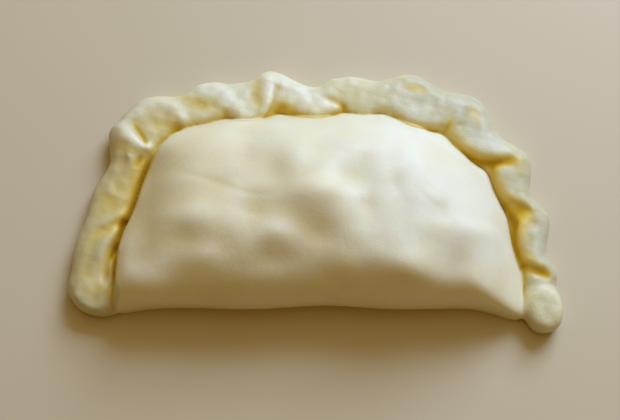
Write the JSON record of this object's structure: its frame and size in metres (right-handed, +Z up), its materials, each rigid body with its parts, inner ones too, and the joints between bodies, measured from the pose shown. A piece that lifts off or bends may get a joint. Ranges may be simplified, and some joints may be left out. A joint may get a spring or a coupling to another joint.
{
  "type": "empanada",
  "caption": "Raw half-moon empanada lying flat: a filled, lumpy pocket of pale dough with a folded rope crimp along its curved edge.",
  "frame": {"origin": "middle of the bottom of the bounding box, on the surface that the dough lies on", "axes": "+X along the folded edge, towards the end with the egg-shaped lobe; +Y from the fold to the crimped edge; +Z up"},
  "size_m": [0.1296, 0.0726, 0.0271],
  "materials": {
    "dough": "soft satin raw wheat dough, slightly moist along the crimp"
  },
  "bodies": {
    "root": {"empanada": "dough"}
  },
  "joints": []
}
